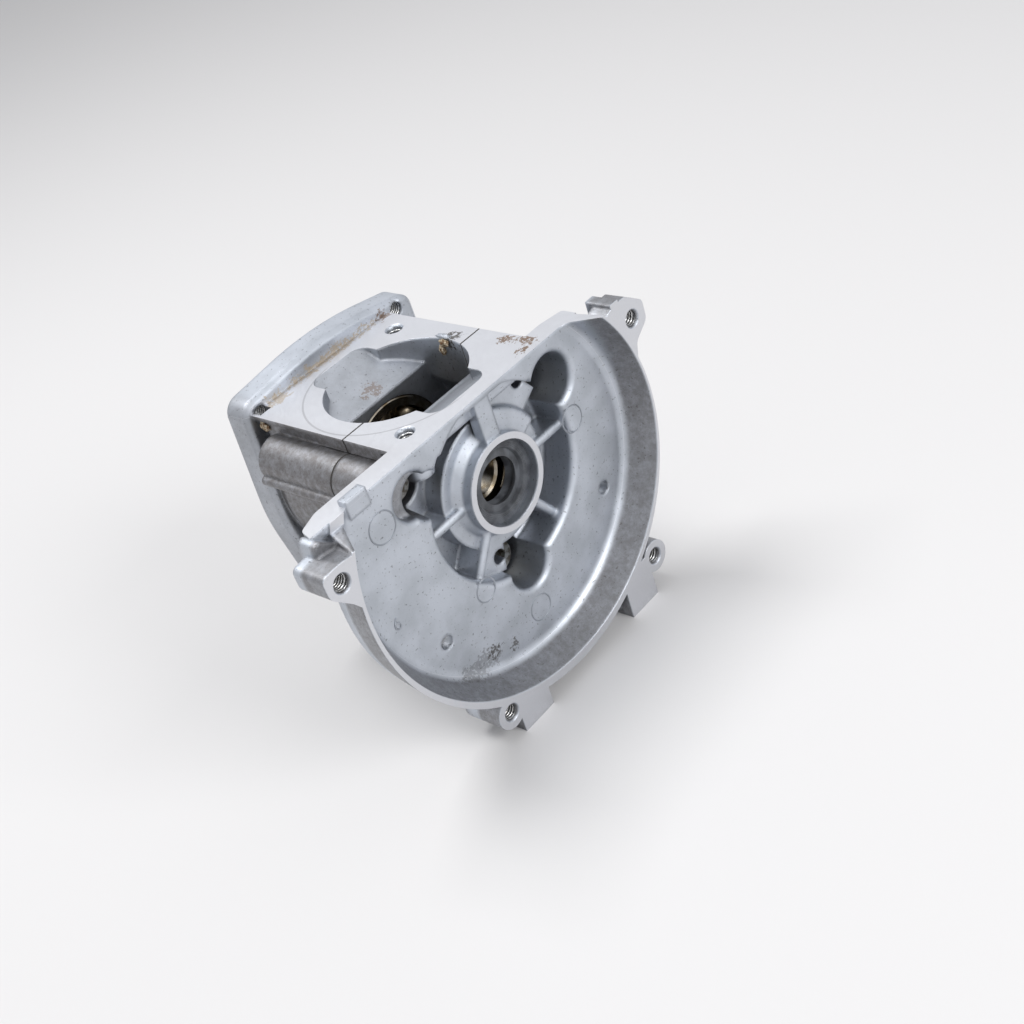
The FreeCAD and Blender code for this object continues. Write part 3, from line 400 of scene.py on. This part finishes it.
def bearing_steel(name, clean, oily, roughness):
    """Ground steel under patches of old oil; the oil is drawn in 3 mm patches."""
    material, tree, shader, place = new_material(name)
    oil = add(tree, "TexNoise", {"Vector": place, "Scale": 0.33, "Detail": 4.0}).outputs[0]
    tree.links.new(tint(tree, ramp(tree, oil, 0.35, 0.65), linear(clean), linear(oily)),
                   shader.inputs["Base Color"])
    shader.inputs["Metallic"].default_value = 1.0
    shader.inputs["Roughness"].default_value = roughness
    return material


ring_steel = bearing_steel("ground_bearing_steel", "#a39c90", "#7d6f58", 0.24)
ball_steel = bearing_steel("polished_ball_steel", "#c4c2bd", "#9d917b", 0.1)
cage_steel = bearing_steel("pressed_cage_steel", "#8d8271", "#5f5340", 0.35)
bearing_metals = {"outer_ring": ring_steel, "inner_ring": ring_steel, "balls": ball_steel,
                  "cage_front": cage_steel, "cage_rear": cage_steel, "cage_rivets": cage_steel}
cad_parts["dowel_pins"].material_slots[0].material = ring_steel
for side in ("front", "rear"):
    for part, steel in bearing_metals.items():
        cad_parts[f"{side}_{part}"].material_slots[0].material = steel

# The two oil seals.
# Nitrile rubber moulded round a steel ring, with fine raised rings beside the lip and a
# garter spring behind it; dull dark grey where dry and glossy where oiled.
SEAL_FACE_LEVEL = -25.7 * MM
SEAL_RING_H = 0.12 * MM
SEAL_RING_W = 0.13 * MM
SEAL_RINGS = (8.62, 9.05, 9.48)
seal_rubber, tree, shader, place = new_material("nitrile_rubber")
dust = add(tree, "TexNoise", {"Vector": place, "Scale": 0.35, "Detail": 3.0}).outputs[0]
tree.links.new(tint(tree, ramp(tree, dust, 0.3, 0.7), linear("#3b3d41"), linear("#5d6065")),
               shader.inputs["Base Color"])
dull = add(tree, "MapRange", {0: dust, 3: 0.32, 4: 0.6}).outputs[0]
tree.links.new(dull, shader.inputs["Roughness"])
a = np.linspace(0, 2 * np.pi, 97)[:, None]
b = np.linspace(0, 2 * np.pi, 13)[None, :]
for side, sign in (("front", 1), ("rear", -1)):
    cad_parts[f"{side}_oil_seal"].material_slots[0].material = seal_rubber
    for k, radius in enumerate(SEAL_RINGS):
        # Round angle a the radius is R + w cos b and the height above the seal's face is h sin b
        r = radius * MM + SEAL_RING_W * np.cos(b)
        y = sign * (SEAL_FACE_LEVEL - SEAL_RING_H * np.sin(b)) + 0 * a
        ring = np.stack([r * np.cos(a), y, r * np.sin(a)], -1)
        piece = surface(f"{side}_seal_ring_{k + 1}", ring, seal_rubber)
        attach(piece, "case")

spring_wire, tree, shader, place = new_material("drawn_spring_wire")
# Drawn steel wire: bands of painted highlight and painted shade stand for the spring's fine coils
coil_highlight_and_shade = add(tree, "TexWave", {"Vector": place, "Scale": 1.6, "Distortion": 0.5},
            wave_type="RINGS").outputs[1]
tree.links.new(tint(tree, coil_highlight_and_shade, linear("#8a8a88"), linear("#3c3b39")), shader.inputs["Base Color"])
shader.inputs["Metallic"].default_value = 1.0
shader.inputs["Roughness"].default_value = 0.3
for side in ("front", "rear"):
    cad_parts[f"{side}_seal_spring"].material_slots[0].material = spring_wire

# Old sealant and the torn edge of the cylinder opening.
# Dried liquid gasket in the corner below the deck and in the bruise at the opening's right,
# where the deck's edge was once hit and a burr of aluminium stands up.


def crumb(name, centre, size, seed, material):
    """A lumpy blob: an ellipsoid whose radius is scaled by a few crossed sine waves."""
    u = np.linspace(0, np.pi, 25)[:, None]
    v = np.linspace(0, 2 * np.pi, 37)[None, :]
    lump = 1 + 0.22 * np.sin(3 * u + seed) * np.sin(4 * v + 2 * seed)
    lump = lump + 0.12 * np.sin(7 * u) * np.sin(6 * v + seed)
    x = size[0] * lump * np.sin(u) * np.cos(v)
    y = size[1] * lump * np.sin(u) * np.sin(v)
    z = size[2] * lump * np.cos(u) + 0 * v
    points = np.stack([x, y, z], -1) * MM + np.array(centre) * MM
    return surface(name, points, material)


# Dried liquid gasket: a dull crust, cream where thin and brown where it holds oil
sealant, tree, shader, place = new_material("dried_liquid_gasket")
patch = add(tree, "TexNoise", {"Vector": place, "Scale": 1.1, "Detail": 5.0,
                               "Roughness": 0.7}).outputs[0]
tree.links.new(tint(tree, ramp(tree, patch, 0.42, 0.6), linear("#6a4b2b"), linear("#c9bda4")),
               shader.inputs["Base Color"])
shader.inputs["Roughness"].default_value = 0.65
residue = [crumb("sealant_corner", (-24.1, 25.3, 21.9), (0.8, 1.9, 1.3), 0.4, sealant),
           crumb("sealant_bruise_upper", (18.4, 0.6, 24.0), (0.6, 1.5, 1.0), 1.7, sealant),
           crumb("sealant_bruise_lower", (18.5, 2.2, 21.6), (0.5, 1.0, 1.3), 2.9, sealant)]
burr = crumb("torn_burr", (19.4, 1.2, 25.3), (0.8, 2.4, 0.6), 0.9,
             castings["rear_case_half"])
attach(burr, "case")
for piece in residue:
    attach(piece, "case")

# The floor, the light and the camera.
# A plain pale floor under the dish's feet, wide soft lamps above and in front, and a camera
# at the photograph's viewing angle.
FLOOR_Z = -57.0 * MM
FLOOR_HALF = 3.0
floor_mesh = bpy.data.meshes.new("floor")
floor_mesh.from_pydata([(-FLOOR_HALF, -FLOOR_HALF, FLOOR_Z), (FLOOR_HALF, -FLOOR_HALF, FLOOR_Z),
                        (FLOOR_HALF, FLOOR_HALF, FLOOR_Z), (-FLOOR_HALF, FLOOR_HALF, FLOOR_Z)],
                       [], [(0, 1, 2, 3)])
floor = bpy.data.objects.new("floor", floor_mesh)
bpy.context.collection.objects.link(floor)
paper, tree, shader, place = new_material("matte_paper_sheet")
shader.inputs["Base Color"].default_value = linear("#dedddd")
shader.inputs["Roughness"].default_value = 0.9
floor_mesh.materials.append(paper)

world = bpy.data.worlds.new("studio")
bpy.context.scene.world = world
world.use_nodes = True
tree = world.node_tree
surround = tree.nodes["Background"]
surround.inputs[0].default_value = linear("#f1f2f5")
rays = add(tree, "LightPath")
seen = larger(tree, rays.outputs["Is Camera Ray"], rays.outputs["Is Glossy Ray"])
seen = larger(tree, seen, rays.outputs["Is Transmission Ray"])
strength = add(tree, "MapRange", {0: seen, 3: 0.55, 4: 1.0}).outputs[0]
tree.links.new(strength, surround.inputs[1])

LAMPS = (("lamp_above", (-0.1, 0.3, 0.8), 0.4, 5.0),
         ("lamp_front", (0.1, -0.9, 0.5), 0.5, 5.5))
for name, lamp_at, width, power in LAMPS:
    light = bpy.data.lights.new(name, "AREA")
    light.shape = "SQUARE"
    light.size = width
    light.energy = power
    lamp = bpy.data.objects.new(name, light)
    bpy.context.collection.objects.link(lamp)
    turn = (-Vector(lamp_at)).to_track_quat("-Z", "Y").to_matrix().to_4x4()
    lamp.matrix_world = Matrix.Translation(lamp_at) @ turn

CAMERA_AT = (-0.1902, -0.2641, 0.1938)
CAMERA_RIGHT = (0.62548, -0.73163, -0.27110)
CAMERA_UP = (0.58231, 0.20646, 0.78631)
CAMERA_BACK = (-0.51932, -0.64969, 0.55517)
camera_data = bpy.data.cameras.new("camera")
camera_data.lens = 52.2
camera_data.sensor_width = 36.0
camera = bpy.data.objects.new("camera", camera_data)
bpy.context.collection.objects.link(camera)
rows = zip(CAMERA_RIGHT, CAMERA_UP, CAMERA_BACK, CAMERA_AT)
camera.matrix_world = Matrix((*rows, (0, 0, 0, 1)))
bpy.context.scene.camera = camera
bpy.context.scene.view_settings.view_transform = "Standard"
